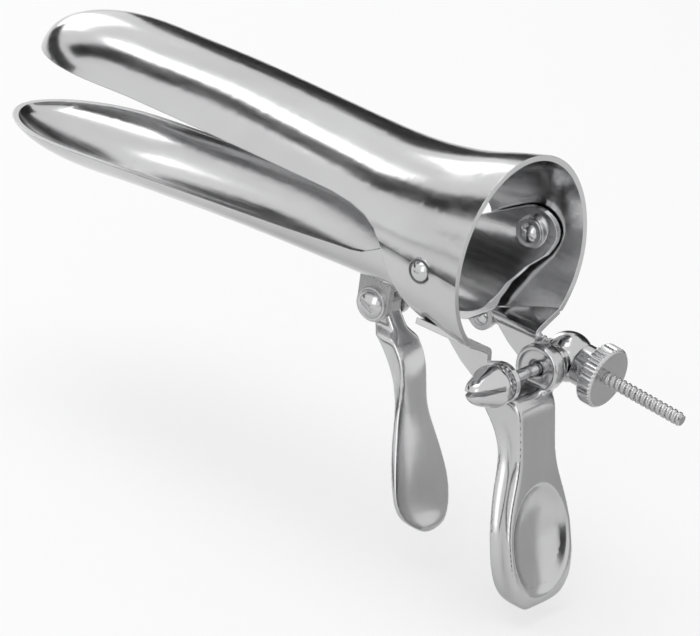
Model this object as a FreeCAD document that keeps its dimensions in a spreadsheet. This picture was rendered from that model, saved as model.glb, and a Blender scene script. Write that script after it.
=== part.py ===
import FreeCAD, Part
import Sketcher
import math
import os

# Two-blade hinged instrument in formed steel sheet.
# Frame: origin at the middle of the blade pivot axis, X to the right,
# Y along the blades to their tips, Z up.  Millimetres.

doc = FreeCAD.newDocument("bivalve")
sheet = doc.addObject("Spreadsheet::Sheet", "Sizes")

# word, size, what it is
SIZES = [
    ("sheetThickness", 1.2),
    ("ringHalfWidth", 21.5),
    ("rimTilt", 5.5),
    ("upperLength", 112.5),
    ("upperHalfWidth", 16.0),
    ("upperTop", 16.1),
    ("upperEdgeZ", 6.2),
    ("lowerLength", 118.0),
    ("lowerHalfWidth", 16.6),
    ("lowerEdgeZ", -2.6),
    ("lowerEdgeSlope", 0.08),
    ("earClearance", 0.8),
    ("earRadius", 5.3),
    ("runningFit", 0.05),
    ("rivetRadius", 1.5),
    ("rivetHeadRadius", 2.0),
    ("rivetHeadHeight", 1.0),
    ("rivetInnerHeadRadius", 2.1),
    ("rivetWasherRadius", 3.0),
    ("rivetWasherThickness", 0.6),
    ("padRadius", 3.2),
    ("padOutset", 1.3),
    ("padInset", 5.6),
    ("crossY", -15.0),
    ("crossZ", -20.6),
    ("lugInnerX", 7.2),
    ("lugRadius", 4.2),
    ("screwRadius", 1.25),
    ("screwEndX", 11.9),
    ("screwHeadRadius", 4.1),
    ("screwHeadHeight", 8.0),
    ("screwSlotWidth", 1.0),
    ("screwSlotDepth", 6.2),
    ("headCollarRadius", 3.4),
    ("headCollarLength", 1.6),
    ("innerWasherRadius", 3.3),
    ("innerWasherThickness", 1.2),
    ("eyeCollarRadius", 3.4),
    ("eyeCollarLength", 0.9),
    ("eyeRadius", 5.1),
    ("eyeLength", 7.0),
    ("eyeBossRadius", 3.3),
    ("rodX", 14.5),
    ("rodRadius", 1.4),
    ("rodClearance", 0.45),
    ("rodPivotY", 4.75),
    ("rodSlope", 4.9),
    ("rodLength", 48.0),
    ("rodKnuckleRadius", 2.6),
    ("rodKnuckleHalfWidth", 1.9),
    ("rodPinRadius", 1.1),
    ("rodPinHeadRadius", 1.9),
    ("rodPinHeadHeight", 0.8),
    ("rodBracketThickness", 1.4),
    ("thrustCollarRadius", 4.3),
    ("thrustCollarLength", 3.0),
    ("thumbNutRadius", 6.4),
    ("thumbNutLength", 3.6),
    ("handleKnuckleRadius", 5.0),
    ("handleKnuckleLeftX", 3.2),
    ("handleKnuckleRightX", 7.1),
    ("handleNeckHalfWidth", 6.2),
    ("handlePaddleHalfWidth", 10.5),
    ("handleLean", 14.5),
    ("dishHalfWidth", 8.0),
    ("dishHalfHeight", 11.4),
    ("dishDepth", 1.8),
    ("leverY", 20.5),
    ("leverZ", -18.7),
    ("leverScrewRadius", 1.25),
    ("leverScrewHeadRadius", 3.0),
    ("leverScrewHeadHeight", 1.6),
    ("leverWasherRadius", 3.4),
    ("leverWasherThickness", 0.6),
    ("leverBracketHalfWidth", 4.0),
    ("leverSlotHalfWidth", 2.35),
    ("leverKnuckleHalfWidth", 2.3),
    ("leverKnuckleRadius", 3.1),
    ("leverWideHalfWidth", 8.6),
]
for row, (word, size) in enumerate(SIZES, start=1):
    sheet.set("A%d" % row, word)
    sheet.set("B%d" % row, str(size))
    sheet.setAlias("B%d" % row, word)
doc.recompute()


def size(word):
    """Number held in the sheet under this word."""
    return float(sheet.get(word))


def formula(text):
    """Sheet formula from plain words: @word stands for a sheet size."""
    return text.replace("@", "Sizes.")


def new_body(name):
    item = doc.addObject("PartDesign::Body", name)
    item.Label = name
    return item


def plane(item, role):
    for feature in item.Origin.OriginFeatures:
        if feature.Role == role:
            return feature
    raise ValueError(role)


def place(item, x="0", y="0", z="0"):
    """Bind a body's position to the sheet."""
    for letter, text in (("x", x), ("y", y), ("z", z)):
        item.setExpression("Placement.Base." + letter, formula(text))


def attach(item, feature, role, start, flipped=False):
    """Fix a feature to an origin plane, a distance out along its normal."""
    feature.AttachmentSupport = [(plane(item, role), "")]
    feature.MapMode = "FlatFace"
    turn = FreeCAD.Rotation(FreeCAD.Vector(1, 0, 0), 180 if flipped else 0)
    feature.AttachmentOffset = FreeCAD.Placement(FreeCAD.Vector(), turn)
    feature.setExpression("AttachmentOffset.Base.z", formula(start))


def cylinder(item, radius, start, length, role="YZ_Plane", cut=False):
    kind = "PartDesign::SubtractiveCylinder" if cut else "PartDesign::AdditiveCylinder"
    feature = item.newObject(kind, item.Name + "_cylinder")
    attach(item, feature, role, start)
    feature.setExpression("Radius", formula(radius))
    feature.setExpression("Height", formula(length))
    return feature


def dome(item, radius, height, start, flipped=False):
    """Round head: the cap of a ball, standing on a plane across X."""
    ball = "((%s ^ 2 + %s ^ 2) / (2 * %s))" % (radius, height, height)
    feature = item.newObject("PartDesign::AdditiveSphere", item.Name + "_dome")
    sunk = "%s - %s" % (ball, height)
    attach(item, feature, "YZ_Plane", start + (" + " if flipped else " - ") + "(" + sunk + ")", flipped)
    feature.setExpression("Radius", formula(ball))
    feature.setExpression("Angle1", formula("asin((%s) / %s)" % (sunk, ball)))
    return feature


def turned(item, outline):
    """Solid turned about X: outline runs of (x, radius), closed along the axis."""
    sketch = item.newObject("Sketcher::SketchObject", item.Name + "_turned")
    attach(item, sketch, "XY_Plane", "0")
    for run in outline + [[outline[-1][-1], outline[0][0]]]:
        points = [FreeCAD.Vector(a, b, 0) for a, b in run]
        if len(points) == 2:
            sketch.addGeometry(Part.LineSegment(points[0], points[1]), False)
        else:
            curve = Part.BSplineCurve()
            curve.interpolate(Points=points)
            sketch.addGeometry(curve, False)
    feature = item.newObject("PartDesign::Revolution", item.Name + "_revolution")
    feature.Profile = sketch
    feature.ReferenceAxis = (sketch, ["H_Axis"])
    feature.Angle = 360
    return feature


def ring(name, outer, inner, start, length):
    """Washer or collar along X."""
    item = new_body(name)
    cylinder(item, outer, start, length)
    cylinder(item, inner, start, length, cut=True)
    return item


def slot(item, start, width, depth, reach, tilt):
    """Driver slot across a head whose top faces along -X."""
    feature = item.newObject("PartDesign::SubtractiveBox", item.Name + "_slot")
    feature.AttachmentSupport = [(plane(item, "YZ_Plane"), "")]
    feature.MapMode = "FlatFace"
    turn = FreeCAD.Rotation(FreeCAD.Vector(0, 0, 1), tilt)
    feature.AttachmentOffset = FreeCAD.Placement(turn.multVec(FreeCAD.Vector(-10, -size(width) / 2, 0)), turn)
    feature.Length = 20
    feature.setExpression("Width", formula("@" + width))
    feature.setExpression("Height", formula(depth))
    feature.setExpression("AttachmentOffset.Base.z", formula(start))
    return feature


def drawn(item, runs, role, start, length):
    """Pad of a closed outline. Each run of points is a line, or a smooth curve if it has more than two."""
    sketch = item.newObject("Sketcher::SketchObject", item.Name + "_outline")
    attach(item, sketch, role, start)
    count = len(runs)
    for run in runs:
        points = [FreeCAD.Vector(a, b, 0) for a, b in run]
        if len(points) == 2:
            sketch.addGeometry(Part.LineSegment(points[0], points[1]), False)
        else:
            curve = Part.BSplineCurve()
            curve.interpolate(Points=points)
            sketch.addGeometry(curve, False)
    for index in range(count):
        sketch.addConstraint(Sketcher.Constraint("Coincident", index, 2, (index + 1) % count, 1))
    pad = item.newObject("PartDesign::Pad", item.Name + "_pad")
    pad.Profile = sketch
    pad.setExpression("Length", formula(length))
    return pad


def arc_points(centre, radius, start, end, count):
    """Points on a round end, angles in degrees from +Y towards +Z."""
    result = []
    for index in range(count):
        angle = math.radians(start + (end - start) * index / (count - 1))
        result.append((centre[0] + radius * math.cos(angle), centre[1] + radius * math.sin(angle)))
    return result


def between(table, y):
    """Smooth reading of a table of (y, value), level beyond its ends."""
    if y <= table[0][0]:
        return table[0][1]
    if y >= table[-1][0]:
        return table[-1][1]
    slopes = [(b[1] - a[1]) / (b[0] - a[0]) for a, b in zip(table, table[1:])]
    turns = [slopes[0]]
    for before, after in zip(slopes, slopes[1:]):
        turns.append(0.0 if before * after <= 0 else 2 * before * after / (before + after))
    turns.append(slopes[-1])
    for index, (start, end) in enumerate(zip(table, table[1:])):
        if y <= end[0]:
            break
    reach = end[0] - start[0]
    t = (y - start[0]) / reach
    return (
        (1 + 2 * t) * (1 - t) ** 2 * start[1] + t * (1 - t) ** 2 * reach * turns[index]
        + t * t * (3 - 2 * t) * end[1] + t * t * (t - 1) * reach * turns[index + 1])


def section(y, half_width, centre, up, down):
    """Closed wire across Y: half ellipses above and below one centre height."""
    halves = []
    for reach, turn in ((up, 1), (down, -1)):
        half = Part.Arc(FreeCAD.Vector(turn, 0, 0), FreeCAD.Vector(0, 0, turn), FreeCAD.Vector(-turn, 0, 0)).toShape()
        stretch = FreeCAD.Matrix()
        stretch.scale(half_width, 1, reach)
        stretch.move(0, y, centre)
        halves.append(half.transformGeometry(stretch))
    return Part.Wire(halves)


def outward(shape):
    """The shape with its faces turned outward, so that its volume counts as positive."""
    if shape.Volume < 0:
        shape.reverse()
    return shape


thickness = size("sheetThickness")
ring_half = size("ringHalfWidth")
cross = (size("crossY"), size("crossZ"))


# Upper blade: ring mouth, duck-bill blade, folded neck and two lugs.

blade_half = size("upperHalfWidth")
blade_top = size("upperTop")
upper_widths = [
    (-14, ring_half + 0.7), (-9.6, ring_half), (0, ring_half - 1.6), (12, ring_half - 2.9),
    (25, ring_half - 4.2), (40, blade_half + 0.6), (60, blade_half + 0.1), (88, blade_half),
]
upper_tops = [
    (-14, ring_half + 2.1), (-7.5, ring_half + 0.7), (0, ring_half - 1.5), (8.6, ring_half - 4.1),
    (20, blade_top - 0.5), (30, blade_top - 0.8), (56, blade_top), (70, blade_top + 0.1), (85, blade_top - 0.3),
]
upper_centres = [(-14, 0.8), (0, 0.8), (20, 2.2), (40, 3.2), (120, 3.2)]


def blade_tip(y, start, end, power):
    """1 along the blade, falling roundly to 0 at its tip."""
    if y <= start:
        return 1.0
    share = min(1.0, (y - start) / (end - start))
    return (1 - share ** power) ** 0.5


def upper_solid(inset):
    """Filled shape of the upper blade, drawn in by an inset."""
    end = size("upperLength") - inset
    stations = [-14, -9.6, -5, 0, 6, 12, 20, 30, 42, 56, 70, 82, 88, 94]
    stations += [88 + (end - 88) * share for share in (0.5, 0.72, 0.86, 0.95, 0.99)]
    wires = []
    for y in stations:
        half_width = (between(upper_widths, y) - inset) * blade_tip(y, 88, end, 2.3)
        centre = between(upper_centres, y)
        top = centre + 2.0 + (between(upper_tops, y) - inset - centre - 2.0) * blade_tip(y, 84, end, 2.4)
        down = (between(upper_widths, y) * 0.896 - inset) * max(blade_tip(y, 88, end, 2.3), 0.3)
        wires.append(section(y, half_width, centre, top - centre, down))
    return Part.makeLoft(wires, True)


def side_prism(points, half_width):
    """Solid of a side-view outline (y, z), right across the part."""
    corners = [FreeCAD.Vector(-half_width, y, z) for y, z in points]
    face = Part.Face(Part.makePolygon(corners + corners[:1]))
    return face.extrude(FreeCAD.Vector(2 * half_width, 0, 0))


def rim_y(z):
    """Rear rim plane of the ring, top tilted forward."""
    return -9.6 + (z - 0.8) * math.tan(math.radians(size("rimTilt")))


edge_z = size("upperEdgeZ")
end_y = size("upperLength")
wall_side = [
    (rim_y(-12.6), -12.6), (rim_y(30), 30), (end_y + 5, 30), (end_y + 5, 5.0), (end_y - 12, edge_z - 0.7),
    (80, edge_z), (26, edge_z), (20.6, edge_z - 0.4), (16.4, 4.9), (13.4, 3.4), (11.2, 0.9), (9.6, -2.4),
    (8.2, -5.4), (5, -10.3), (2.2, -13.3), (0, -14.2), (-5, -13.4),
]
upper_shell = upper_solid(0).cut(upper_solid(thickness))
upper_wall = upper_shell.common(side_prism(wall_side, 40))

lug_in = size("lugInnerX")
lug_out = lug_in + thickness
lug_r = size("lugRadius")


def neck_sheet(side):
    """Folded sheet from the wall's fold line inward, bending down smoothly into a lug."""
    fold_x = ring_half - 6.6
    inner = [(fold_x - 0.4, -12.0), (fold_x - 3.0, -13.0), (lug_in + 1.7, -14.2), (lug_in + 0.3, -15.2), (lug_in, -16.6)]
    outer = [(fold_x + 0.1, -13.1), (fold_x - 2.5, -14.1), (lug_out + 1.2, -15.3), (lug_out + 0.2, -15.9),
             (lug_out, -16.6)]
    edges = []
    for points in (inner, outer):
        curve = Part.BSplineCurve()
        places = [FreeCAD.Vector(side * x, -25, z) for x, z in points]
        turns = [places[1] - places[0], FreeCAD.Vector(0, 0, -2)]
        curve.interpolate(Points=places, InitialTangent=turns[0], FinalTangent=turns[1])
        edges.append(curve.toShape())
    corners = [(lug_in, -16.6), (lug_in, -27), (lug_out, -27), (lug_out, -16.6)]
    places = [FreeCAD.Vector(side * x, -25, z) for x, z in corners]
    for start, end in zip(places, places[1:]):
        edges.append(Part.makeLine(start, end))
    tops = [FreeCAD.Vector(side * inner[0][0], -25, inner[0][1]), FreeCAD.Vector(side * outer[0][0], -25, outer[0][1])]
    edges.append(Part.makeLine(tops[0], tops[1]))
    wire = Part.Wire(Part.__sortEdges__(edges))
    return outward(Part.Face(wire).extrude(FreeCAD.Vector(0, 40, 0)))


lug_side = [(2.6, -11.5), (2.2, -13.3), (-5.2, -19.6)]
lug_side += arc_points(cross, lug_r, -60, -287, 15)
lug_side += [(rim_y(-17.5), -17.5), (rim_y(-11.5), -11.5)]
lug_outline = side_prism(lug_side, ring_half - 5.3)

upper_shape = upper_wall
for side in (-1, 1):
    upper_shape = upper_shape.fuse(neck_sheet(side).common(lug_outline))

# Flat pads for the pivot heads, then the rivet and cross screw holes.
pad_out = ring_half - size("padOutset")
for side in (-1, 1):
    direction = FreeCAD.Vector(side, 0, 0)
    boss = Part.makeCylinder(2.6, 0.9, FreeCAD.Vector(side * (pad_out - 0.9), 0, 0), direction)
    upper_shape = upper_shape.fuse(boss)
rivet_hole = Part.makeCylinder(size("rivetRadius"), 60, FreeCAD.Vector(-30, 0, 0), FreeCAD.Vector(1, 0, 0))
upper_shape = upper_shape.cut(rivet_hole)
screw_hole = Part.makeCylinder(
    size("screwRadius"), 40, FreeCAD.Vector(-20, cross[0], cross[1]), FreeCAD.Vector(1, 0, 0))
upper_shape = upper_shape.cut(screw_hole)
upper = doc.addObject("Part::Feature", "upper_blade")
upper.Label = "upper_blade"
upper.Shape = upper_shape


# Lower blade: trough with two ears that turn inside the ring.

ear_gap = thickness + size("earClearance")
lower_half = size("lowerHalfWidth")
lower_widths = [
    (-8, ring_half - 2.1), (0, ring_half - 1.6 - ear_gap), (6, ring_half - 2.25 - ear_gap),
    (12, ring_half - 2.9 - ear_gap), (20, lower_half - 0.3),
    (34, lower_half), (92, lower_half),
]
lower_bottoms = [(-8, -13.4), (40, -13.3), (58, -13.9), (78, -15.4), (96, -16.8), (104, -16.8)]
lower_centres = [(-8, 2.2), (0, 2.0), (12, 0.6), (25, -1.2), (40, -3.8), (118, -10.0)]


def lower_edge(y):
    return size("lowerEdgeZ") - size("lowerEdgeSlope") * y


def lower_solid(inset):
    """Filled shape of the lower blade, drawn in by an inset."""
    end = size("lowerLength") - inset
    stations = [-8, -4, 0, 6, 12, 20, 30, 42, 56, 68, 80, 92, 98]
    stations += [92 + (end - 92) * share for share in (0.5, 0.7, 0.84, 0.94, 0.99)]
    wires = []
    for y in stations:
        half_width = (between(lower_widths, y) - inset) * blade_tip(y, 92, end, 2.3)
        centre = between(lower_centres, y)
        low = centre - 1.6
        bottom = low - (low - between(lower_bottoms, y) - inset) * blade_tip(y, 92, end, 2.4)
        up = 18.0 if y < 30 else 9.0
        wires.append(section(y, half_width, centre, up * max(blade_tip(y, 92, end, 2.3), 0.2), centre - bottom))
    return Part.makeLoft(wires, True)


lower_end = size("lowerLength")
ear_r = size("earRadius")
ear_side = [(20, lower_edge(20)), (17, -3.5)]
ear_side += arc_points((0, 0), ear_r, 60, 200, 12)
ear_side += [(-4.3, -3.6), (-1.8, -6.5), (-0.6, -9.5), (-1.2, -11.8), (-2.4, -12.8), (-2.4, -30)]
ear_side += [(lower_end + 5, -30), (lower_end + 5, lower_edge(lower_end + 5))]
lower_outside = lower_solid(0)
lower_shape = lower_outside.cut(lower_solid(thickness)).common(side_prism(ear_side, 40))
pad_in = ring_half - size("padInset")
for side in (-1, 1):
    direction = FreeCAD.Vector(side, 0, 0)
    boss = Part.makeCylinder(size("padRadius"), 2.0, FreeCAD.Vector(side * pad_in, 0, 0), direction)
    face = Part.makeCylinder(size("padRadius"), 3.0, FreeCAD.Vector(side * (pad_in - 3.0), 0, 0), direction)
    lower_shape = lower_shape.fuse(boss.common(lower_outside)).cut(face)
ear_hole = Part.makeCylinder(
    size("rivetRadius") + size("runningFit"), 60, FreeCAD.Vector(-30, 0, 0), FreeCAD.Vector(1, 0, 0))
lower_shape = lower_shape.cut(ear_hole)
lower = doc.addObject("Part::Feature", "lower_blade")
lower.Label = "lower_blade"
lower.Shape = lower_shape


# Blade pivot: a rivet each side, head outside, round head over a washer inside.

for word, side in (("left", -1), ("right", 1)):
    rivet = new_body(word + "_rivet")
    washer_x = "(@ringHalfWidth - @padInset - @rivetWasherThickness)"
    if side < 0:
        cylinder(rivet, "@rivetRadius", "-(@ringHalfWidth - @padOutset)", "(@ringHalfWidth - @padOutset) - " + washer_x)
        dome(rivet, "@rivetHeadRadius", "@rivetHeadHeight", "-(@ringHalfWidth - @padOutset)", flipped=True)
        dome(rivet, "@rivetInnerHeadRadius", "@rivetHeadHeight", "-" + washer_x)
        ring(word + "_rivet_washer", "@rivetWasherRadius", "@rivetRadius", "-(@ringHalfWidth - @padInset)", "@rivetWasherThickness")
    else:
        cylinder(rivet, "@rivetRadius", washer_x, "(@ringHalfWidth - @padOutset) - " + washer_x)
        dome(rivet, "@rivetHeadRadius", "@rivetHeadHeight", "(@ringHalfWidth - @padOutset)")
        dome(rivet, "@rivetInnerHeadRadius", "@rivetHeadHeight", washer_x, flipped=True)
        ring(word + "_rivet_washer", "@rivetWasherRadius", "@rivetRadius", washer_x, "@rivetWasherThickness")


# Cross screw through the lugs, with its collars and the swivel eye on its end.

lug_out_text = "(@lugInnerX + @sheetThickness)"
head_x = "(@lugInnerX + @sheetThickness + @headCollarLength)"
screw = new_body("cross_screw")
place(screw, "0", "@crossY", "@crossZ")
cylinder(screw, "@screwRadius", "-" + head_x, "@screwEndX + " + head_x)
head_base = -(size("lugInnerX") + thickness + size("headCollarLength"))
head_r = size("screwHeadRadius")
head_l = size("screwHeadHeight")
turned(screw, [
    [(head_base, 0), (head_base, head_r - 0.3)],
    [(head_base, head_r - 0.3), (head_base - 0.4, head_r), (head_base - 0.35 * head_l, 0.93 * head_r),
     (head_base - 0.68 * head_l, 0.70 * head_r), (head_base - 0.93 * head_l, 0.38 * head_r),
     (head_base - head_l, 0)],
])
slot(screw, "-" + head_x + " - @screwHeadHeight - 0.5", "screwSlotWidth", "@screwSlotDepth + 0.5", 12, -18)
collar = ring("head_collar", "@headCollarRadius", "@screwRadius", "-" + head_x, "@headCollarLength")
place(collar, "0", "@crossY", "@crossZ")
washer = ring("inner_washer", "@innerWasherRadius", "@screwRadius", "-@lugInnerX", "@innerWasherThickness")
place(washer, "0", "@crossY", "@crossZ")
collar = ring("eye_collar", "@eyeCollarRadius", "@screwRadius", lug_out_text, "@eyeCollarLength")
place(collar, "0", "@crossY", "@crossZ")

slope = size("rodSlope")
eye_start = "(@lugInnerX + @sheetThickness + @eyeCollarLength)"
eye = new_body("swivel_eye")
place(eye, "0", "@crossY", "@crossZ")
eye.Placement = FreeCAD.Placement(eye.Placement.Base, FreeCAD.Rotation(FreeCAD.Vector(1, 0, 0), slope))
ball = eye.newObject("PartDesign::AdditiveSphere", "eye_ball")
attach(eye, ball, "XZ_Plane", "0")
ball.setExpression("AttachmentOffset.Base.x", formula("@rodX"))
ball.setExpression("Radius", formula("@eyeRadius"))
for reach in ("@eyeLength / 2", "-@eyeLength / 2 - 10"):
    flat = eye.newObject("PartDesign::SubtractiveCylinder", "eye_flat")
    attach(eye, flat, "XZ_Plane", reach)
    flat.setExpression("AttachmentOffset.Base.x", formula("@rodX"))
    flat.setExpression("Radius", formula("@eyeRadius"))
    flat.Height = 10
cylinder(eye, "@eyeBossRadius", eye_start, "@rodX - " + eye_start)
bore = eye.newObject("PartDesign::SubtractiveCylinder", "eye_rod_bore")
attach(eye, bore, "XZ_Plane", "-@eyeLength")
bore.setExpression("AttachmentOffset.Base.x", formula("@rodX"))
bore.setExpression("Radius", formula("@rodRadius + @rodClearance"))
bore.setExpression("Height", formula("2 * @eyeLength"))
cylinder(eye, "@screwRadius + @runningFit", eye_start, "@screwEndX + 0.3 - " + eye_start, cut=True)


# Threaded rod, its pin and bracket, thrust collar and thumb nut.

rod_y = size("rodPivotY")
rod_z = cross[1] + (rod_y - cross[0]) * math.tan(math.radians(slope))
rod_z_text = "(@crossZ + (@rodPivotY - @crossY) * tan(@rodSlope))"
tilt = FreeCAD.Rotation(FreeCAD.Vector(1, 0, 0), slope)
eye_distance = (rod_y - cross[0]) / math.cos(math.radians(slope))


def on_rod(item):
    """Put a body's origin at the rod's front pivot, its -Y along the rod."""
    item.Placement = FreeCAD.Placement(FreeCAD.Vector(), tilt)
    place(item, "@rodX", "@rodPivotY", rod_z_text)


def along_rod(item, radius, start, length, cut=False):
    """Cylinder about the rod's line; start and length are distances rearward."""
    return cylinder(item, radius, start, length, role="XZ_Plane", cut=cut)


rod = new_body("threaded_rod")
on_rod(rod)
along_rod(rod, "@rodRadius", "0", "@rodLength")
cylinder(rod, "@rodKnuckleRadius", "-@rodKnuckleHalfWidth", "2 * @rodKnuckleHalfWidth")
cylinder(rod, "@rodPinRadius + @runningFit", "-@rodKnuckleHalfWidth - 1", "2 * @rodKnuckleHalfWidth + 2", cut=True)

bracket_x = "(@rodX - @rodKnuckleHalfWidth - 0.1 - @rodBracketThickness)"
bracket_left = size("rodX") - size("rodKnuckleHalfWidth") - 0.1 - size("rodBracketThickness")
pin = new_body("rod_pin")
place(pin, "0", "@rodPivotY", rod_z_text)
cylinder(pin, "@rodPinRadius", bracket_x, "@rodX + @rodKnuckleHalfWidth + 0.1 - " + bracket_x)
dome(pin, "@rodPinHeadRadius", "@rodPinHeadHeight", bracket_x, flipped=True)
dome(pin, "@rodPinHeadRadius", "@rodPinHeadHeight", "@rodX + @rodKnuckleHalfWidth + 0.1")

arm = new_body("rod_bracket_plate")
round_end = arc_points((rod_y, rod_z), 2.9, -45, -280, 12)
arm_outline = [
    [(14.4, -7), (13.9, -11.6), (12.2, -15.6), (9.6, -18.8), round_end[0]],
    round_end,
    [round_end[-1], (6.5, -15.4), (7.2, -12.8), (8.9, -10.6), (9.6, -7)],
    [(9.6, -7), (14.4, -7)],
]
drawn(arm, arm_outline, "YZ_Plane", bracket_x, "@rodBracketThickness")
cylinder(arm, "@rodPinRadius", bracket_x, "@rodBracketThickness", cut=True).setExpression(
    "AttachmentOffset.Base.y", formula(rod_z_text))
arm.Tip.setExpression("AttachmentOffset.Base.x", formula("@rodPivotY"))
doc.recompute()
bracket = doc.addObject("Part::Feature", "rod_bracket")
bracket.Label = "rod_bracket"
bracket.Shape = arm.Shape.cut(lower_outside)

hub_start = "(@eyeLength / 2 + 0.1)"
hub = new_body("thrust_collar")
on_rod(hub)
eye_text = "((@rodPivotY - @crossY) / cos(@rodSlope))"
along_rod(hub, "@thrustCollarRadius", eye_text + " + " + hub_start, "@thrustCollarLength")
along_rod(hub, "@rodRadius + @runningFit", "0", "@rodLength", cut=True)
nut = new_body("thumb_nut")
on_rod(nut)
nut_start = eye_text + " + " + hub_start + " + @thrustCollarLength"
along_rod(nut, "@thumbNutRadius", nut_start, "@thumbNutLength")
along_rod(nut, "@rodRadius + @runningFit", "0", "@rodLength", cut=True)


# Thumb handle: side outline and rear outline met together, knuckle and dish.

handle_side = [
    [(-12.0, -24.2), (-10.3, -25.0), (-10.3, -27.0), (-12.6, -30.0), (-15.4, -34.6), (-17.0, -40.5),
     (-19.3, -48.0), (-21.0, -54.4), (-23.9, -65.4)],
    [(-23.9, -65.4), (-25.2, -67.4), (-27.3, -68.0), (-28.9, -66.8), (-29.1, -64.4)],
    [(-29.1, -64.4), (-26.6, -54.4), (-24.0, -46.0), (-21.8, -36.8), (-20.0, -28.4), (-18.9, -25.4),
     (-17.2, -24.2)],
    [(-17.2, -24.2), (-12.0, -24.2)],
]
half = size("handlePaddleHalfWidth")
neck = size("handleNeckHalfWidth")
handle_edge = [
    (neck, -23), (neck - 0.1, -32), (neck + 0.3, -37.5), (half - 2.2, -43), (half - 0.6, -48), (half, -53.5),
    (half - 0.5, -58.6), (half - 2.4, -63.4), (half - 5.6, -66.9), (0, -68.4),
]
handle_front = [
    handle_edge,
    [(-x, z) for x, z in reversed(handle_edge)],
    [(-neck, -23), (neck, -23)],
]
handle_a = new_body("handle_side_view")
drawn(handle_a, handle_side, "YZ_Plane", "-@handlePaddleHalfWidth - 1", "2 * @handlePaddleHalfWidth + 2")
handle_b = new_body("handle_rear_view")
drawn(handle_b, handle_front, "XZ_Plane", "0", "40")
knuckle = new_body("handle_knuckle")
place(knuckle, "0", "@crossY", "@crossZ")
cylinder(knuckle, "@handleKnuckleRadius", "@handleKnuckleLeftX", "@handleKnuckleRightX - @handleKnuckleLeftX")
cylinder(knuckle, "@handleKnuckleRadius - 0.9", "@handleKnuckleLeftX", "0.5", cut=True)
doc.recompute()
handle_shape = handle_a.Shape.common(handle_b.Shape).fuse(knuckle.Shape)
shank = Part.makeCylinder(
    size("screwRadius") + size("runningFit"), 40, FreeCAD.Vector(-20, cross[0], cross[1]), FreeCAD.Vector(1, 0, 0))
handle_shape = handle_shape.cut(shank)
dish = Part.makeSphere(1.0)
stretch = FreeCAD.Matrix()
stretch.scale(size("dishHalfWidth"), size("dishDepth"), size("dishHalfHeight"))
dish = dish.transformGeometry(stretch)
dish.rotate(FreeCAD.Vector(), FreeCAD.Vector(1, 0, 0), -size("handleLean"))
dish.translate(FreeCAD.Vector(0, -25.1, -51.4))
handle_shape = handle_shape.cut(dish)
handle = doc.addObject("Part::Feature", "thumb_handle")
handle.Label = "thumb_handle"
handle.Shape = handle_shape


# Front lever in its bracket under the lower blade.

pivot = (size("leverY"), size("leverZ"))
lug = new_body("lever_bracket_block")
lug_end = arc_points(pivot, 3.8, 195, 345, 12)
lug_runs = [
    [(16.8, -10), lug_end[0]],
    lug_end,
    [lug_end[-1], (24.6, -10)],
    [(24.6, -10), (16.8, -10)],
]
drawn(lug, lug_runs, "YZ_Plane", "-@leverBracketHalfWidth", "2 * @leverBracketHalfWidth")
gap = lug.newObject("PartDesign::SubtractiveBox", "lever_gap")
attach(lug, gap, "YZ_Plane", "-@leverSlotHalfWidth")
gap.Length = 20
gap.Width = 20
gap.setExpression("Height", formula("2 * @leverSlotHalfWidth"))
gap.setExpression("AttachmentOffset.Base.x", formula("@leverY - 10"))
gap.setExpression("AttachmentOffset.Base.y", formula("@leverZ + @leverKnuckleRadius + 0.4 - 20"))
cylinder(lug, "@leverScrewRadius", "-10", "20", cut=True)
lug.Tip.setExpression("AttachmentOffset.Base.x", formula("@leverY"))
lug.Tip.setExpression("AttachmentOffset.Base.y", formula("@leverZ"))
doc.recompute()
holder = doc.addObject("Part::Feature", "lever_bracket")
holder.Label = "lever_bracket"
holder.Shape = lug.Shape.cut(lower_outside)

washer_left = "(@leverBracketHalfWidth + @leverWasherThickness)"
pivot_screw = new_body("lever_screw")
place(pivot_screw, "0", "@leverY", "@leverZ")
cylinder(pivot_screw, "@leverScrewRadius", "-" + washer_left, "@leverBracketHalfWidth + " + washer_left)
dome(pivot_screw, "@leverScrewHeadRadius", "@leverScrewHeadHeight", "-" + washer_left, flipped=True)
dome(pivot_screw, "@leverScrewRadius", "0.6", "@leverBracketHalfWidth")
slot(pivot_screw, "-" + washer_left + " - @leverScrewHeadHeight - 0.5", "screwSlotWidth", "1.2", 12, 30)
washer = ring("lever_washer", "@leverWasherRadius", "@leverScrewRadius", "-" + washer_left, "@leverWasherThickness")
place(washer, "0", "@leverY", "@leverZ")

lever_top = arc_points(pivot, size("leverKnuckleRadius"), -40, 200, 12)
lever_side = [
    lever_top,
    [lever_top[-1], (15.4, -22.8), (12.0, -26.6), (9.6, -31.7), (8.1, -38.2), (6.0, -44), (3.4, -51),
     (1.5, -56.2), (-0.5, -59.6), (-1.5, -61.2)],
    [(-1.5, -61.2), (-1.2, -62.3), (0.2, -62.3)],
    [(0.2, -62.3), (2.2, -60.4), (4.0, -57.2), (5.6, -53.4), (7.9, -48.2), (10.5, -40.6), (13.0, -32.4),
     (17.2, -26.2), (20.6, -23.2), lever_top[0]],
]
wide = size("leverWideHalfWidth")
narrow = size("leverKnuckleHalfWidth")
shoulder = size("leverBracketHalfWidth")
lever_edge = [
    (shoulder, -24.8), (shoulder + 0.1, -32), (shoulder + 0.9, -38.5), (wide - 1.8, -45), (wide - 0.4, -50.5),
    (wide, -54.6), (wide - 1.1, -58), (wide - 3.8, -61), (0, -62.5),
]
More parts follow.
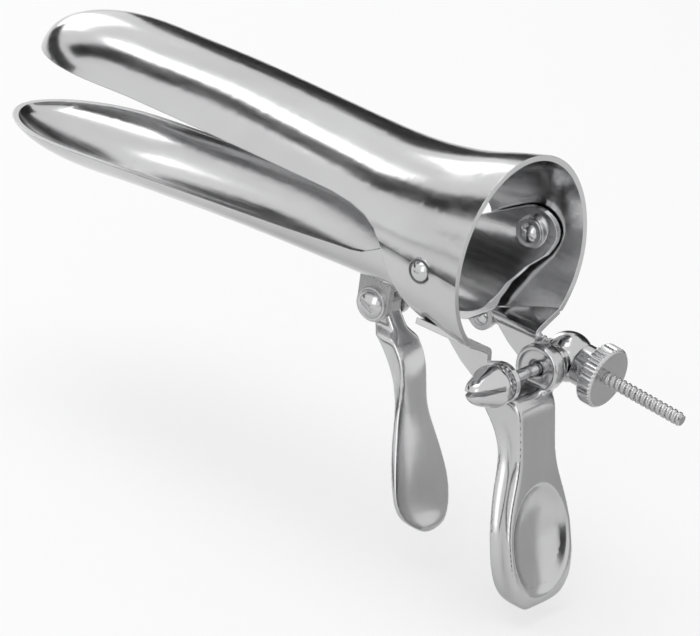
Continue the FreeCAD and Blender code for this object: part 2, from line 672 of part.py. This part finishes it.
lever_front = [
    [(narrow, -14), (narrow, -23.2)],
    [(narrow, -23.2), (shoulder, -24.8)],
    lever_edge,
    [(-x, z) for x, z in reversed(lever_edge)],
    [(-shoulder, -24.8), (-narrow, -23.2)],
    [(-narrow, -23.2), (-narrow, -14)],
    [(-narrow, -14), (narrow, -14)],
]
lever_a = new_body("lever_side_view")
drawn(lever_a, lever_side, "YZ_Plane", "-@leverWideHalfWidth - 1", "2 * @leverWideHalfWidth + 2")
lever_b = new_body("lever_rear_view")
drawn(lever_b, lever_front, "XZ_Plane", "-30", "40")
doc.recompute()
lever_hole = Part.makeCylinder(
    size("leverScrewRadius") + size("runningFit"), 20, FreeCAD.Vector(-10, pivot[0], pivot[1]),
    FreeCAD.Vector(1, 0, 0))
lever = doc.addObject("Part::Feature", "finger_lever")
lever.Label = "finger_lever"
lever.Shape = lever_a.Shape.common(lever_b.Shape).cut(lever_hole)
doc.recompute()


NODES = [
    "upper_blade", "left_rivet", "right_rivet", "left_rivet_washer", "right_rivet_washer",
    "cross_screw", "head_collar", "inner_washer", "eye_collar", "swivel_eye",
    "lower_blade", "rod_bracket", "rod_pin", "threaded_rod", "thrust_collar", "thumb_nut",
    "thumb_handle", "lever_bracket", "lever_screw", "lever_washer", "finger_lever",
]
os.makedirs("parts", exist_ok=True)
for item in doc.Objects:
    if "Invalid" in item.State or "Error" in item.State:
        raise RuntimeError(item.Label + " is not sound")
for node in NODES:
    item = doc.getObjectsByLabel(node)[0]
    if item.Shape.isNull() or not item.Shape.isValid():
        raise RuntimeError(node + " has no sound shape")
    box = item.Shape.BoundBox
    print("%-20s solids %d  x %.1f %.1f  y %.1f %.1f  z %.1f %.1f  volume %.1f" % (
        node, len(item.Shape.Solids), box.XMin, box.XMax, box.YMin, box.YMax, box.ZMin, box.ZMax,
        item.Shape.Volume))
    item.Shape.exportStep("parts/%s.step" % node)
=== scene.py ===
import bpy
import math
from mathutils import Matrix, Vector


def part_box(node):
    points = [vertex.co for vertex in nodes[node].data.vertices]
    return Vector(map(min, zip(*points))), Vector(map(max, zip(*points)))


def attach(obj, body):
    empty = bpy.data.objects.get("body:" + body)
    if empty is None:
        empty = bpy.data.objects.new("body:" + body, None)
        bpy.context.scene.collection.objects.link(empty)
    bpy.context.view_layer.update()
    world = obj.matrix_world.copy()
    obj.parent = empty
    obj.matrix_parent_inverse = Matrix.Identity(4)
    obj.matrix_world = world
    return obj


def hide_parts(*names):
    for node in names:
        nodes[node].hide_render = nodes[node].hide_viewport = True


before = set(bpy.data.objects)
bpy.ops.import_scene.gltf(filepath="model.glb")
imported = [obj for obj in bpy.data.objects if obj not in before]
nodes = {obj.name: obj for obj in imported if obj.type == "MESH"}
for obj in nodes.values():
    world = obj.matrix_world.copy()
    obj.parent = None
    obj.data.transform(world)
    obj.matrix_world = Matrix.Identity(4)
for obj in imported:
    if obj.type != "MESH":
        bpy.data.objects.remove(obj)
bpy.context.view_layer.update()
MM = 0.001

# Rod, nut and collars: sizes and places in mm, in the frame's axes.
ROD_SLOPE = math.radians(4.9)
ROD_X = 14.5
ROD_PIVOT_Y = 4.75
CROSS_Y = -15.0
CROSS_Z = -20.6
PIVOT_TO_CROSS = ROD_PIVOT_Y - CROSS_Y
ROD_LENGTH = 48.0
KNUCKLE_HALF_WIDTH = 1.9
KNUCKLE_RADIUS = 2.6
KNUCKLE_CHAMFER = 0.2

THREAD_PITCH = 1.25
THREAD_CREST = 1.4
THREAD_ROOT = 1.15
THREAD_START = 8.0
THREAD_FIRST_STATION = 6.0
THREAD_STEP = 0.125
THREAD_STATIONS = 337

EYE_TO_THRUST_COLLAR = 3.6
THRUST_COLLAR_LENGTH = 3.0
NUT_CLEARANCE = 0.08
NUT_LENGTH = 3.5
NUT_RIDGES = 44
NUT_RADIUS = 5.9
NUT_CHAMFER = 0.5

HEAD_COLLAR_X = -10.0
HEAD_COLLAR_LENGTH = 1.6
HEAD_COLLAR_RIBS = 18
HEAD_COLLAR_RADIUS = 2.95
HEAD_COLLAR_CHAMFER = 0.3

# Forged handle and lever, in mm; both ends are depths below the frame's origin.
VOXEL = 0.30
DISH_HALF_WIDTH = 8.8
DISH_HALF_HEIGHT = 10.9
DISH_DEPTH = 2.9
DISH_Z = -52.6
DISH_BOTTOM = -66.0
DISH_TOP = -36.0
GROOVE_DEPTH = 0.9
HANDLE_END = 68.4
LEVER_END = 62.3

# The groove's place and width, as shares of the handle's half depth from rear to front.
GROOVE_PLACE = 0.1
GROOVE_WIDTH = 0.32

# Camera: lens in mm, distances in metres.
CAMERA_AZIMUTH = math.radians(-55.5)
CAMERA_ELEVATION = math.radians(23.1)
CAMERA_ROLL = math.radians(9.9)
CAMERA_LENS = 238.8
CAMERA_DISTANCE = 0.9
CAMERA_LEFT = 0.0256
CAMERA_DOWN = 0.01335


# Materials: polished, satin and forged steel, each with procedural polishing lines.

def new_material(name):
    material = bpy.data.materials.new(name)
    material.use_nodes = True
    tree = material.node_tree
    tree.nodes.clear()
    output = tree.nodes.new("ShaderNodeOutputMaterial")
    shader = tree.nodes.new("ShaderNodeBsdfPrincipled")
    tree.links.new(shader.outputs["BSDF"], output.inputs["Surface"])
    return material, tree, shader


def two_tones(tree, scale, low, high, places=(0.0, 1.0), vector=None):
    """Colour output that runs between two tones by noise; vector is the socket that places it."""
    noise = tree.nodes.new("ShaderNodeTexNoise")
    noise.inputs["Scale"].default_value = scale
    if vector is not None:
        tree.links.new(vector, noise.inputs["Vector"])
    ramp = tree.nodes.new("ShaderNodeValToRGB")
    for element, place, colour in zip(ramp.color_ramp.elements, places, (low, high)):
        element.position = place
        element.color = (*colour, 1)
    tree.links.new(noise.outputs["Fac"], ramp.inputs["Fac"])
    return ramp.outputs["Color"]


def steel(name, dark, light, rough_low, rough_high, grain, edge=0.25):
    """Steel with soft tone drift and fine polishing lines; edge is its bevel shading in mm."""
    material, tree, shader = new_material(name)
    new = tree.nodes.new
    link = tree.links.new
    place = new("ShaderNodeTexCoord")
    low = (dark, dark, dark * 1.01)
    high = (light, light, light * 1.01)
    tone = two_tones(tree, 45.0, low, high, (0.3, 0.7), place.outputs["Object"])
    link(tone, shader.inputs["Base Color"])
    stretch = new("ShaderNodeMapping")
    stretch.inputs["Scale"].default_value = grain
    link(place.outputs["Object"], stretch.inputs["Vector"])
    lines = new("ShaderNodeTexNoise")
    lines.inputs["Scale"].default_value = 1.0
    lines.inputs["Detail"].default_value = 2.0
    link(stretch.outputs["Vector"], lines.inputs["Vector"])
    rough = new("ShaderNodeMapRange")
    rough.inputs["From Min"].default_value = 0.3
    rough.inputs["From Max"].default_value = 0.7
    rough.inputs["To Min"].default_value = rough_low
    rough.inputs["To Max"].default_value = rough_high
    link(lines.outputs["Fac"], rough.inputs["Value"])
    link(rough.outputs["Result"], shader.inputs["Roughness"])
    bump = new("ShaderNodeBump")
    bump.inputs["Strength"].default_value = 0.08
    bump.inputs["Distance"].default_value = 0.01 * MM
    link(lines.outputs["Fac"], bump.inputs["Height"])
    if edge:
        bevel = new("ShaderNodeBevel")
        bevel.samples = 6
        bevel.inputs["Radius"].default_value = edge * MM
        link(bevel.outputs["Normal"], bump.inputs["Normal"])
    link(bump.outputs["Normal"], shader.inputs["Normal"])
    shader.inputs["Metallic"].default_value = 1.0
    return material


polished = steel("polished_steel", 0.54, 0.61, 0.14, 0.20, grain=(700.0, 90.0, 700.0))
satin = steel("satin_steel", 0.44, 0.54, 0.24, 0.32, grain=(900.0, 900.0, 900.0))
forged = steel("forged_steel", 0.52, 0.60, 0.17, 0.24, grain=(600.0, 600.0, 80.0), edge=0)
satin_nodes = {"threaded_rod", "rod_bracket", "lever_bracket"}
for name, obj in nodes.items():
    obj.data.materials.clear()
    obj.data.materials.append(satin if name in satin_nodes else polished)


# Screw thread, knurled nut and ribbed collar, each in its plain CAD piece's place.

def mesh_piece(name, vertices, faces, material, body, node, sharp=35):
    """New piece on a body in place of one CAD node; edges over sharp degrees stay sharp."""
    mesh = bpy.data.meshes.new(name)
    mesh.from_pydata([tuple(v) for v in vertices], [], faces)
    mesh.validate()
    mesh.update()
    for polygon in mesh.polygons:
        polygon.use_smooth = True
    mesh.set_sharp_from_angle(angle=math.radians(sharp))
    mesh.materials.append(material)
    obj = bpy.data.objects.new(name, mesh)
    bpy.context.collection.objects.link(obj)
    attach(obj, body)
    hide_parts(node)


rearward = Vector((0, -math.cos(ROD_SLOPE), -math.sin(ROD_SLOPE)))
across = Vector((1, 0, 0))
forward = Vector((0, 1, 0))
upward_axis = Vector((0, 0, 1))
upright = across.cross(rearward) * -1
front_pivot = Vector((ROD_X, ROD_PIVOT_Y, CROSS_Z + PIVOT_TO_CROSS * math.tan(ROD_SLOPE))) * MM
cross_centre = Vector((0, CROSS_Y, CROSS_Z)) * MM


def turned(origin, axis, first, second, stations, count, radius_at):
    """Closed skin about an axis: radius_at(distance, angle) in mm; ends are closed with a fan."""
    vertices = []
    faces = []
    for distance in stations:
        for k in range(count):
            angle = 2 * math.pi * k / count
            spoke = first * math.cos(angle) + second * math.sin(angle)
            radius = radius_at(distance, angle)
            vertices.append(origin + (axis * distance + spoke * radius) * MM)
    last = len(stations) - 1
    for i in range(last):
        for k in range(count):
            a = i * count + k
            b = i * count + (k + 1) % count
            faces.append((a, b, b + count, a + count))
    for i in (0, last):
        centre = len(vertices)
        vertices.append(origin + axis * stations[i] * MM)
        for k in range(count):
            a = i * count + k
            b = i * count + (k + 1) % count
            faces.append((centre, b, a) if i == 0 else (centre, a, b))
    return vertices, faces


def ridge_share(angle, count):
    """1 on each of count ridges round a circle, 0 halfway between them."""
    return abs(((angle * count / (2 * math.pi)) % 1.0) - 0.5) * 2


def disc_stations(length, chamfer):
    """Places along a disc's axis: both faces, and the middle and inner end of each chamfer."""
    return [0.0, chamfer / 2, chamfer, length - chamfer, length - chamfer / 2, length]


def chamfer_share(distance, length, chamfer):
    """0 at both faces of a disc, 1 from one chamfer inside them."""
    return min(1.0, min(distance, length - distance) / chamfer)


def thread_radius(distance, angle):
    """Trapezoid ridge winding round the rod; it fades in at the start and tapers at the end."""
    phase = (distance / THREAD_PITCH - angle / (2 * math.pi)) % 1.0
    ridge = min(1.0, max(0.0, 2.2 - abs(phase - 0.5) * 6.5))
    fade = min(1.0, max(0.0, (distance - THREAD_START) / 1.0))
    deep = THREAD_CREST - (THREAD_CREST - THREAD_ROOT) * (1 - ridge) * fade
    end = min(1.0, (ROD_LENGTH - distance) / 0.5)
    return deep * (0.8 + 0.2 * end)


def knuckle_radius(distance, angle):
    """Round knuckle with a small chamfer at each face."""
    inside = abs(distance) < KNUCKLE_HALF_WIDTH - KNUCKLE_CHAMFER / 2
    return KNUCKLE_RADIUS if inside else KNUCKLE_RADIUS - KNUCKLE_CHAMFER


def knurl_radius(distance, angle):
    """Straight knurl round the nut's rim with a chamfer at each face."""
    edge = chamfer_share(distance, NUT_LENGTH, NUT_CHAMFER)
    return NUT_RADIUS + 0.2 * edge + 0.3 * edge * ridge_share(angle, NUT_RIDGES)


def rib_radius(distance, angle):
    """Coarse ribs round the collar under the screw head."""
    edge = chamfer_share(distance, HEAD_COLLAR_LENGTH, HEAD_COLLAR_CHAMFER)
    return HEAD_COLLAR_RADIUS + 0.15 * edge + 0.3 * edge * ridge_share(angle, HEAD_COLLAR_RIBS)


thread_stations = [2.0]
thread_stations += [THREAD_FIRST_STATION + THREAD_STEP * i for i in range(THREAD_STATIONS)]
vertices, faces = turned(front_pivot, rearward, across, upright, thread_stations, 28, thread_radius)
inner_width = KNUCKLE_HALF_WIDTH - KNUCKLE_CHAMFER
knuckle_stations = [-KNUCKLE_HALF_WIDTH, -inner_width, inner_width, KNUCKLE_HALF_WIDTH]
knuckle_vertices, knuckle_faces = turned(
    front_pivot, across, forward, upward_axis, knuckle_stations, 40, knuckle_radius)
base = len(vertices)
vertices += knuckle_vertices
faces += [tuple(base + index for index in face) for face in knuckle_faces]
mesh_piece("rod_thread", vertices, faces, satin, "rod", "threaded_rod")

pivot_to_eye = PIVOT_TO_CROSS / math.cos(ROD_SLOPE)
nut_start = pivot_to_eye + EYE_TO_THRUST_COLLAR + THRUST_COLLAR_LENGTH + NUT_CLEARANCE
vertices, faces = turned(
    front_pivot + rearward * nut_start * MM, rearward, across, upright,
    disc_stations(NUT_LENGTH, NUT_CHAMFER), 264, knurl_radius)
mesh_piece("nut_knurl", vertices, faces, polished, "nut", "thumb_nut", 20)

vertices, faces = turned(
    cross_centre + across * HEAD_COLLAR_X * MM, across, forward, upward_axis,
    disc_stations(HEAD_COLLAR_LENGTH, HEAD_COLLAR_CHAMFER), 144, rib_radius)
mesh_piece("collar_ribs", vertices, faces, polished, "ring_frame", "head_collar", 20)


# Thumb handle and finger lever: forged forms with soft edges, shaped from their own CAD solids.

def applied(obj):
    """The object's mesh with its modifiers applied; the modifiers are then removed."""
    bpy.context.view_layer.update()
    view = bpy.context.evaluated_depsgraph_get()
    mesh = bpy.data.meshes.new_from_object(obj.evaluated_get(view))
    obj.modifiers.clear()
    obj.data = mesh
    return mesh


def softened(name, node, body, passes, shape):
    """Smooth copy of a CAD node: remeshed evenly, moved by shape(mesh), then relaxed."""
    obj = bpy.data.objects.new(name, nodes[node].data.copy())
    bpy.context.collection.objects.link(obj)
    even = obj.modifiers.new("even", "REMESH")
    even.mode = "VOXEL"
    even.voxel_size = VOXEL * MM
    shape(applied(obj))
    relax = obj.modifiers.new("relax", "SMOOTH")
    relax.factor = 0.5
    relax.iterations = passes
    final = applied(obj)
    for polygon in final.polygons:
        polygon.use_smooth = True
    final.set_sharp_from_angle(angle=math.pi)
    final.materials.clear()
    final.materials.append(forged)
    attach(obj, body)
    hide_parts(node)


def smooth_step(value, start, end):
    """0 before start, 1 after end, with an even curve between them."""
    share = min(1.0, max(0.0, (value - start) / (end - start)))
    return share * share * (3 - 2 * share)


class Outline:
    """Rear, front and half width of a solid at any height, in mm, averaged over a few layers."""

    step = 0.5
    reach = 3

    def __init__(self, mesh):
        self.found = {}
        for vertex in mesh.vertices:
            x, y, z = (value / MM for value in vertex.co)
            key = round(z / self.step)
            rear, front, wide = self.found.get(key, (y, y, 0.0))
            self.found[key] = (min(rear, y), max(front, y), max(wide, abs(x)))

    def layer(self, key):
        around = range(key - self.reach, key + self.reach + 1)
        near = [self.found[k] for k in around if k in self.found]
        return [sum(values) / len(near) for values in zip(*near)]

    def at(self, z):
        low = math.floor(z / self.step)
        share = z / self.step - low
        return [a + (b - a) * share for a, b in zip(self.layer(low), self.layer(low + 1))]


def rounded_end(z, start, end):
    """1 above start, falling like a ball's outline towards end."""
    share = min(1.0, max(0.0, (start - z) / (start - end)))
    return math.sqrt(1 - 0.92 * share * share)


def shape_handle(mesh):
    """Dish the paddle's rear, sink a groove along both sides and round the end."""
    outline = Outline(mesh)
    for vertex in mesh.vertices:
        x, y, z = (value / MM for value in vertex.co)
        rear, front, wide = outline.at(z)
        middle = (rear + front) / 2
        depth = (front - rear) / 2
        if y < middle + 0.3 * depth and DISH_BOTTOM < z < DISH_TOP:
            inside = 1 - (x / DISH_HALF_WIDTH) ** 2 - ((z - DISH_Z) / DISH_HALF_HEIGHT) ** 2
            dished = rear + DISH_DEPTH * max(0.0, inside) ** 0.7
            y += (dished - y) * smooth_step(wide - abs(x), 0.4, 1.4)
        offset = (y - middle - GROOVE_PLACE * depth) / (GROOVE_WIDTH * depth)
        fade = smooth_step(-z, 28.0, 33.0) * (1 - smooth_step(-z, 56.0, 64.0))
        near_side = smooth_step(abs(x) / wide, 0.5, 0.95)
        x -= math.copysign(GROOVE_DEPTH * math.exp(-offset * offset) * fade * near_side, x)
        y = middle + (y - middle) * rounded_end(z, -59.0, -HANDLE_END)
        x *= 1 - 0.10 * smooth_step(-z, 60.0, HANDLE_END)
        z += 1.5 * smooth_step(-z, 62.0, HANDLE_END)
        vertex.co = (x * MM, y * MM, z * MM)


def shape_lever(mesh):
    """Thin the lever towards its edges below the knuckle and round its end."""
    outline = Outline(mesh)
    for vertex in mesh.vertices:
        x, y, z = (value / MM for value in vertex.co)
        rear, front, wide = outline.at(z)
        middle = (rear + front) / 2
        along = smooth_step(-z, 27.0, 40.0)
        lens = 1 - 0.62 * along * (abs(x) / max(wide, 1.0)) ** 2
        y = middle + (y - middle) * lens * rounded_end(z, -56.0, -LEVER_END)
        x *= 1 - 0.08 * smooth_step(-z, 56.0, LEVER_END)
        z += 1.2 * smooth_step(-z, 57.0, LEVER_END)
        vertex.co = (x * MM, y * MM, z * MM)


softened("handle_forging", "thumb_handle", "handle", 34, shape_handle)
softened("lever_forging", "finger_lever", "lever", 24, shape_lever)


# Floor, camera and studio light. Places and sizes are in metres.

def area(name, place, width, height, power):
    """Rectangular light aimed at a point on the blades' middle plane."""
    light = bpy.data.lights.new(name, "AREA")
    light.shape = "RECTANGLE"
    light.size = width
    light.size_y = height
    light.energy = power
    obj = bpy.data.objects.new(name, light)
    bpy.context.collection.objects.link(obj)
    obj.location = place
    aim = Vector((0, 0.03, 0))
    obj.rotation_euler = (aim - Vector(place)).to_track_quat("-Z", "Y").to_euler()


floor_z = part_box("thumb_handle")[0][2] - 0.0005
bpy.ops.mesh.primitive_plane_add(size=12.0, location=(0, 0, floor_z))
floor = bpy.context.object
floor.name = "floor"
material, tree, shader = new_material("floor")
tone = two_tones(tree, 6.0, (0.86, 0.86, 0.86), (0.90, 0.90, 0.90))
tree.links.new(tone, shader.inputs["Base Color"])
shader.inputs["Roughness"].default_value = 0.9

# The camera sees the floor mixed with plain white; every other ray sees it as it is.
pale = tree.nodes.new("ShaderNodeEmission")
pale.inputs["Color"].default_value = (1, 1, 1, 1)
pale.inputs["Strength"].default_value = 1.0
direct = tree.nodes.new("ShaderNodeLightPath")
share = tree.nodes.new("ShaderNodeMath")
share.operation = "MULTIPLY"
share.inputs[1].default_value = 0.6
blend = tree.nodes.new("ShaderNodeMixShader")
tree.links.new(direct.outputs["Is Camera Ray"], share.inputs[0])
tree.links.new(share.outputs["Value"], blend.inputs["Fac"])
tree.links.new(shader.outputs["BSDF"], blend.inputs[1])
tree.links.new(pale.outputs["Emission"], blend.inputs[2])
tree.links.new(blend.outputs["Shader"], tree.nodes["Material Output"].inputs["Surface"])
floor.data.materials.append(material)

back = Vector((
    math.sin(CAMERA_AZIMUTH) * math.cos(CAMERA_ELEVATION),
    -math.cos(CAMERA_AZIMUTH) * math.cos(CAMERA_ELEVATION),
    math.sin(CAMERA_ELEVATION)))
level = Vector((math.cos(CAMERA_AZIMUTH), math.sin(CAMERA_AZIMUTH), 0))
up = back.cross(level)
right = level * math.cos(CAMERA_ROLL) + up * math.sin(CAMERA_ROLL)
upward = up * math.cos(CAMERA_ROLL) - level * math.sin(CAMERA_ROLL)
camera_data = bpy.data.cameras.new("camera")
camera_data.sensor_width = 36.0
camera_data.lens = CAMERA_LENS
camera_data.clip_start = 0.01
camera = bpy.data.objects.new("camera", camera_data)
bpy.context.collection.objects.link(camera)
place = back * CAMERA_DISTANCE - right * CAMERA_LEFT - upward * CAMERA_DOWN
camera.matrix_world = Matrix((
    (right.x, upward.x, back.x, place.x),
    (right.y, upward.y, back.y, place.y),
    (right.z, upward.z, back.z, place.z),
    (0, 0, 0, 1)))
bpy.context.scene.camera = camera

area("overhead", (-0.15, 0.35, 0.95), 0.9, 0.7, 5)
area("left", (-1.0, -0.35, 0.45), 0.5, 0.9, 1.6)
area("front", (0.5, 1.0, 0.35), 0.5, 0.6, 1.4)


def dark_card(name, direction, distance, width, height, tone):
    """Dark studio card seen only in reflections: it gives polished steel its bands."""
    bpy.ops.mesh.primitive_plane_add(size=1.0, location=Vector(direction).normalized() * distance)
    card = bpy.context.object
    card.name = name
    card.scale = (width, height, 1)
    card.rotation_euler = Vector(direction).to_track_quat("Z", "Y").to_euler()
    card.visible_camera = False
    card.visible_diffuse = False
    card.visible_shadow = False
    material, tree, shader = new_material(name)
    shade = two_tones(tree, 40.0, (tone,) * 3, (tone * 1.3,) * 3)
    tree.links.new(shade, shader.inputs["Base Color"])
    shader.inputs["Roughness"].default_value = 1.0
    shader.inputs["Specular IOR Level"].default_value = 0.0
    card.data.materials.append(material)


dark_card("card_above", (-0.16, 0.476, 0.68), 0.84, 0.27, 1.0, 0.012)
dark_card("card_low", (-0.76, 0.52, -0.36), 0.17, 0.16, 0.035, 0.03)
dark_card("card_far", (-0.10, 0.98, 0.12), 0.8, 0.9, 0.22, 0.05)
dark_card("card_right", (0.95, 0.10, 0.25), 0.9, 0.5, 0.9, 0.02)
dark_card("card_rear", (-0.25, -0.95, 0.10), 0.8, 0.40, 0.5, 0.02)
dark_card("card_under", (0.55, -0.30, -0.62), 0.10, 0.10, 0.10, 0.42)
dark_card("card_side", (0.83, 0.52, -0.02), 0.85, 0.35, 0.9, 0.03)


# World: white, and weaker for diffuse rays than for any other.

world = bpy.data.worlds.new("studio")
bpy.context.scene.world = world
world.use_nodes = True
tree = world.node_tree
tree.nodes.clear()
output = tree.nodes.new("ShaderNodeOutputWorld")
seen = tree.nodes.new("ShaderNodeBackground")
seen.inputs["Color"].default_value = (1, 1, 1, 1)
seen.inputs["Strength"].default_value = 1.0
even = tree.nodes.new("ShaderNodeBackground")
even.inputs["Color"].default_value = (1, 1, 1, 1)
even.inputs["Strength"].default_value = 0.62
ray = tree.nodes.new("ShaderNodeLightPath")
spread = tree.nodes.new("ShaderNodeMixShader")
tree.links.new(ray.outputs["Is Diffuse Ray"], spread.inputs["Fac"])
tree.links.new(seen.outputs["Background"], spread.inputs[1])
tree.links.new(even.outputs["Background"], spread.inputs[2])
tree.links.new(spread.outputs["Shader"], output.inputs["Surface"])
bpy.context.scene.view_settings.view_transform = "Standard"
